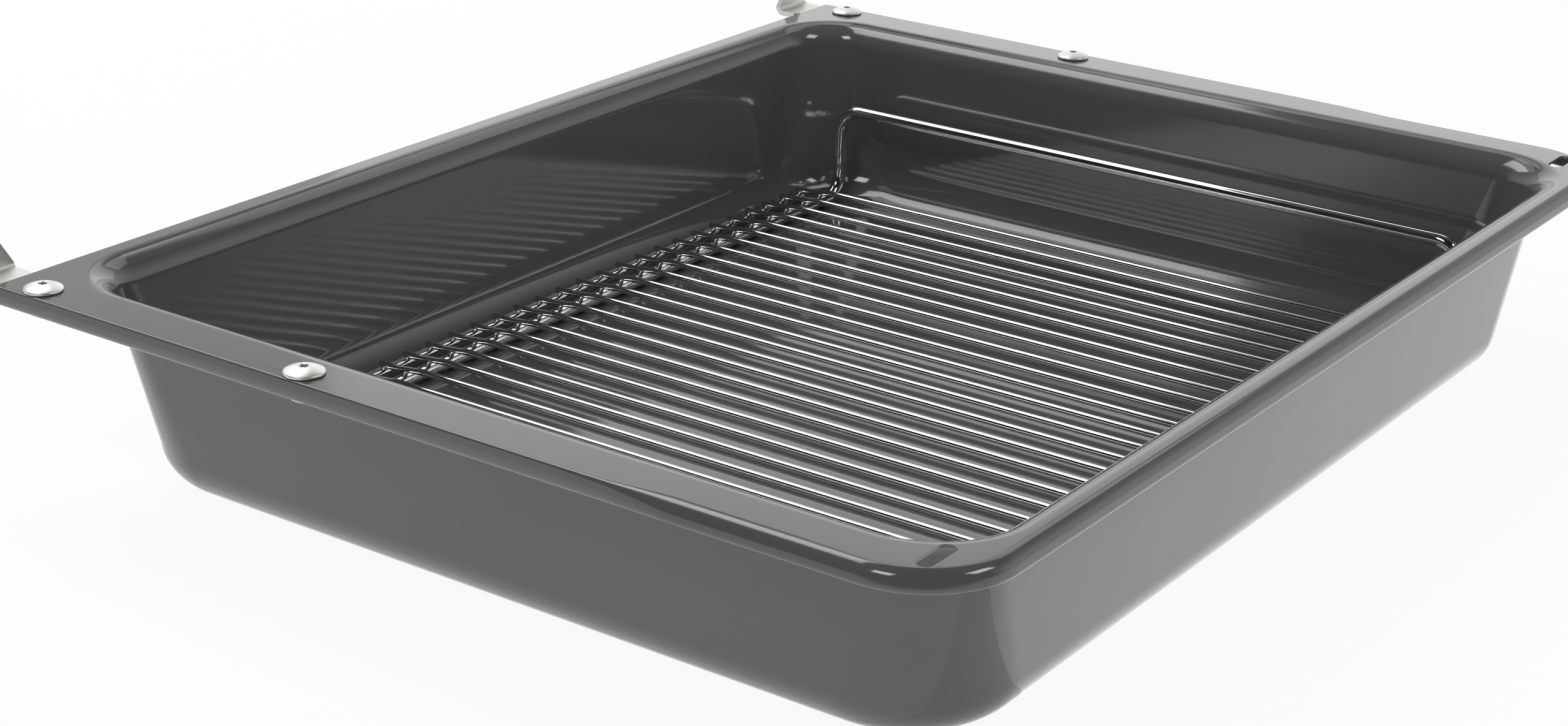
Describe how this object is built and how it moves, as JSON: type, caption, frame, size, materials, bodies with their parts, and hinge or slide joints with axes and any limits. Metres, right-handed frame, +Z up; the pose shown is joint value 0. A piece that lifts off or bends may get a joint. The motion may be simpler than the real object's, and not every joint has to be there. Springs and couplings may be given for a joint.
{
  "type": "roasting pan with rack",
  "caption": "Deep enamelled roasting pan with a hemmed rim, screwed-on hanging hooks and a lift-out chromed wire rack with handle bars.",
  "frame": {"origin": "underside of the floor, in the middle of the pan's width and of its depth without the hooks", "axes": "+X along the pan's width, +Y towards the side that carries the hooks, +Z up"},
  "size_m": [0.455, 0.3663, 0.081],
  "materials": {
    "enamel": "glossy anthracite vitreous enamel",
    "bracket_steel": "plain rolled steel strip, satin",
    "fastener_steel": "bright steel, lightly brushed",
    "chrome_wire": "bright chromium plated steel wire"
  },
  "bodies": {
    "pan": {"pan_shell": "enamel", "hook_bracket_left": "bracket_steel", "hook_bracket_right": "bracket_steel", "screw_left_rear": "fastener_steel", "screw_left_middle": "fastener_steel", "screw_right_rear": "fastener_steel", "screw_right_middle": "fastener_steel", "nut_left_rear": "fastener_steel", "nut_left_middle": "fastener_steel", "nut_right_rear": "fastener_steel", "nut_right_middle": "fastener_steel"},
    "rack": {"rack_frame_left": "chrome_wire", "rack_frame_right": "chrome_wire", "rack_carrier_front": "chrome_wire", "rack_carrier_rear": "chrome_wire", "rack_wire_01": "chrome_wire", "rack_wire_02": "chrome_wire", "rack_wire_03": "chrome_wire", "rack_wire_04": "chrome_wire", "rack_wire_05": "chrome_wire", "rack_wire_06": "chrome_wire", "rack_wire_07": "chrome_wire", "rack_wire_08": "chrome_wire", "rack_wire_09": "chrome_wire", "rack_wire_10": "chrome_wire", "rack_wire_11": "chrome_wire", "rack_wire_12": "chrome_wire", "rack_wire_13": "chrome_wire", "rack_wire_14": "chrome_wire", "rack_wire_15": "chrome_wire", "rack_wire_16": "chrome_wire", "rack_wire_17": "chrome_wire", "rack_wire_18": "chrome_wire", "rack_wire_19": "chrome_wire", "rack_wire_20": "chrome_wire", "rack_wire_21": "chrome_wire", "rack_wire_22": "chrome_wire", "rack_wire_23": "chrome_wire", "rack_wire_24": "chrome_wire", "rack_wire_25": "chrome_wire", "rack_wire_26": "chrome_wire", "rack_wire_27": "chrome_wire", "rack_wire_28": "chrome_wire", "rack_wire_29": "chrome_wire"}
  },
  "joints": [
    {"name": "rack_lift", "type": "slide", "parent": "pan", "child": "rack", "axis": [0, 0, 1], "range_m": [0, 0.12]}
  ]
}
